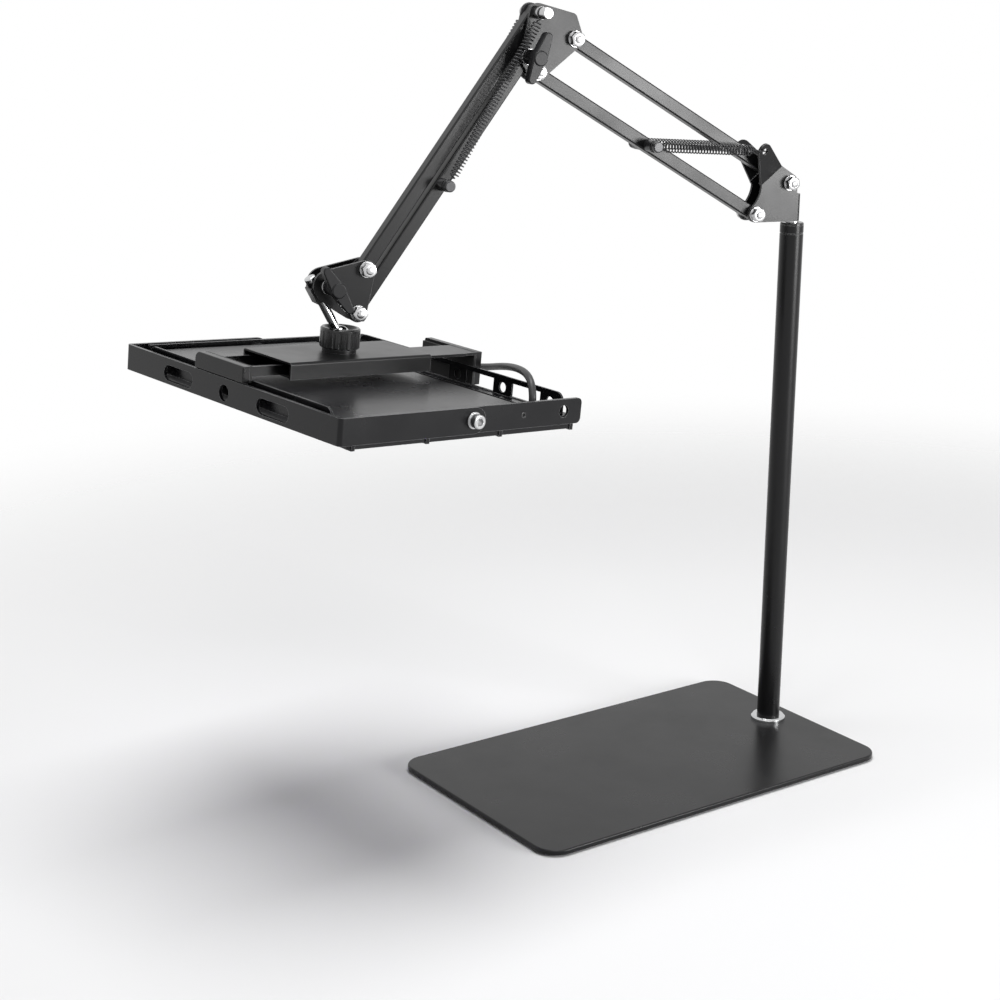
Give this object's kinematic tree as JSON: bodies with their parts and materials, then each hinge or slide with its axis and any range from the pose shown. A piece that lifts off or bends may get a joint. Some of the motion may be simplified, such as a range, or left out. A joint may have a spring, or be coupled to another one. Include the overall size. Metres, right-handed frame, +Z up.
{
  "type": "screen printing exposure lamp stand",
  "caption": "UV exposure lamp in a spring clamp on a sprung parallel arm, carried by a pole on a flat steel base.",
  "frame": {"origin": "on the pole's axis at the table's surface", "axes": "+Z up along the pole, the arm and lamp reach towards -X, the arm's nuts face -Y"},
  "size_m": [0.5259, 0.3108, 0.6043],
  "materials": {
    "powder_coat": "satin black powder coat",
    "pole_black": "smooth satin black paint",
    "lamp_black": "semi-gloss black enamel",
    "chrome": "bright chrome plating",
    "zinc_steel": "bright zinc-plated fasteners",
    "spring_steel": "blackened spring steel",
    "black_plastic": "moulded black plastic",
    "matte_black_plastic": "fine-textured moulded black plastic",
    "nylon": "black nylon bushes",
    "acetal": "natural acetal seat",
    "rubber": "black rubber",
    "cable": "black cable sheath",
    "aluminium": "black-anodised aluminium plate",
    "board": "white-coated aluminium circuit board",
    "led": "clear LED domes, lit violet",
    "window_glass": "clear tempered glass"
  },
  "bodies": {
    "base": {"base_plate": "powder_coat", "foot_pads": "rubber", "base_bolt": "zinc_steel", "flange_ring": "chrome", "pole_tube": "pole_black", "pole_bottom_plug": "zinc_steel", "pole_top_bush": "black_plastic"},
    "shoulder": {"shoulder_yoke": "powder_coat", "yoke_spindle": "zinc_steel", "shoulder_fasteners": "zinc_steel", "rear_springs": "spring_steel"},
    "rear_lower": {"rear_lower_bar": "powder_coat", "rear_lower_bushes": "nylon", "rear_spring_pin": "spring_steel"},
    "rear_upper": {"rear_upper_bar": "powder_coat", "rear_upper_bushes": "nylon"},
    "elbow": {"elbow_plates": "powder_coat", "elbow_fasteners": "zinc_steel", "elbow_spring_pin": "zinc_steel", "front_springs": "spring_steel"},
    "elbow_nut": {"elbow_wing_nut": "matte_black_plastic"},
    "front_lower": {"front_lower_bar": "powder_coat", "front_lower_bushes": "nylon", "front_spring_pin": "spring_steel"},
    "front_upper": {"front_upper_bar": "powder_coat", "front_upper_bushes": "nylon"},
    "head": {"head_plates": "powder_coat", "head_fasteners": "zinc_steel"},
    "head_nut": {"head_wing_nut": "matte_black_plastic"},
    "pivot": {"pivot_block": "powder_coat"},
    "stud": {"ball_stud": "chrome", "stud_sleeve": "black_plastic", "stud_cap_nut": "chrome"},
    "seat": {"ball_seat": "acetal"},
    "lamp": {"ball_socket": "powder_coat", "clamp_plate": "powder_coat", "clamp_floor": "powder_coat", "clamp_springs": "spring_steel", "left_jaw": "powder_coat", "left_jaw_pad": "rubber", "side_plates": "lamp_black", "heat_sink_plate": "aluminium", "left_flange": "lamp_black", "lamp_rail": "lamp_black", "driver_cover": "lamp_black", "small_screws": "zinc_steel", "led_driver": "black_plastic", "led_frame": "lamp_black", "glass_window": "window_glass", "glass_gasket": "rubber", "led_board": "board", "led_chips": "led", "glass_clips": "lamp_black", "lamp_lead": "cable", "lead_glands": "rubber", "bracket_fasteners": "zinc_steel"},
    "collar": {"lock_collar": "black_plastic"},
    "jaw": {"right_jaw": "powder_coat", "right_jaw_pad": "rubber"},
    "bracket": {"u_bracket": "lamp_black"}
  },
  "joints": [
    {"name": "shoulder_swivel", "type": "hinge", "parent": "base", "child": "shoulder", "pos_m": [0, 0, 0.4321], "axis": [0, 0, 1], "continuous": true},
    {"name": "rear_lift", "type": "hinge", "parent": "shoulder", "child": "rear_lower", "pos_m": [-0.03925, 0.00657, 0.44129], "axis": [0.165, 0.9863, 0], "range_deg": [-35, 39], "deforming": ["rear_springs"]},
    {"name": "rear_upper_pivot", "type": "hinge", "parent": "shoulder", "child": "rear_upper", "pos_m": [-0.00888, 0.00148, 0.4645], "axis": [0.165, 0.9863, 0], "range_deg": [-35, 39]},
    {"name": "elbow_level", "type": "hinge", "parent": "rear_lower", "child": "elbow", "pos_m": [-0.23065, 0.0386, 0.55515], "axis": [0.165, 0.9863, 0], "range_deg": [-39, 35]},
    {"name": "front_lift", "type": "hinge", "parent": "elbow", "child": "front_lower", "pos_m": [-0.23768, 0.03977, 0.56609], "axis": [0.165, 0.9863, 0], "range_deg": [0, 50], "deforming": ["front_springs"]},
    {"name": "front_upper_pivot", "type": "hinge", "parent": "elbow", "child": "front_upper", "pos_m": [-0.23036, 0.03855, 0.59749], "axis": [0.165, 0.9863, 0], "range_deg": [-2, 50]},
    {"name": "head_level", "type": "hinge", "parent": "front_lower", "child": "head", "pos_m": [-0.37154, 0.06217, 0.38664], "axis": [0.165, 0.9863, 0], "range_deg": [-50, 2]},
    {"name": "elbow_nut_turn", "type": "hinge", "parent": "elbow", "child": "elbow_nut", "pos_m": [-0.23768, 0.03977, 0.56609], "axis": [-0.165, -0.9863, 0], "range_deg": [0, 360]},
    {"name": "head_nut_turn", "type": "hinge", "parent": "head", "child": "head_nut", "pos_m": [-0.39299, 0.06576, 0.40753], "axis": [-0.165, -0.9863, 0], "range_deg": [0, 360]},
    {"name": "head_tilt", "type": "hinge", "parent": "head", "child": "pivot", "pos_m": [-0.39299, 0.06576, 0.40753], "axis": [0.165, 0.9863, 0], "range_deg": [-2, 25]},
    {"name": "stud_turn", "type": "hinge", "parent": "pivot", "child": "stud", "pos_m": [-0.38242, 0.06399, 0.36899], "axis": [-0.4478, 0.0749, 0.891], "range_deg": [-25, 25]},
    {"name": "ball_tilt", "type": "hinge", "parent": "stud", "child": "seat", "pos_m": [-0.38242, 0.06399, 0.36899], "axis": [0.165, 0.9863, 0], "range_deg": [-12, 8]},
    {"name": "lamp_swivel", "type": "hinge", "parent": "seat", "child": "lamp", "pos_m": [-0.38242, 0.06399, 0.36899], "axis": [0.0847, -0.0204, 0.9962], "continuous": true},
    {"name": "collar_turn", "type": "hinge", "parent": "lamp", "child": "collar", "pos_m": [-0.38335, 0.06422, 0.35804], "axis": [0.0847, -0.0204, 0.9962], "range_deg": [0, 180]},
    {"name": "jaw_slide", "type": "slide", "parent": "lamp", "child": "jaw", "axis": [0.9904, 0.1111, -0.0819], "range_m": [0, 0.008], "stiffness_N_per_m": 600, "springref_m": -0.01, "deforming": ["clamp_springs"]},
    {"name": "bracket_swing", "type": "hinge", "parent": "lamp", "child": "bracket", "pos_m": [-0.36995, 0.06188, 0.33376], "axis": [-0.109, 0.9936, 0.0296], "range_deg": [-110, 0]}
  ],
  "couplings": [
    {"joint": "rear_upper_pivot", "follows": "rear_lift", "ratio": 1},
    {"joint": "elbow_level", "follows": "rear_lift", "ratio": -1},
    {"joint": "front_upper_pivot", "follows": "front_lift", "ratio": 1},
    {"joint": "head_level", "follows": "front_lift", "ratio": -1}
  ]
}
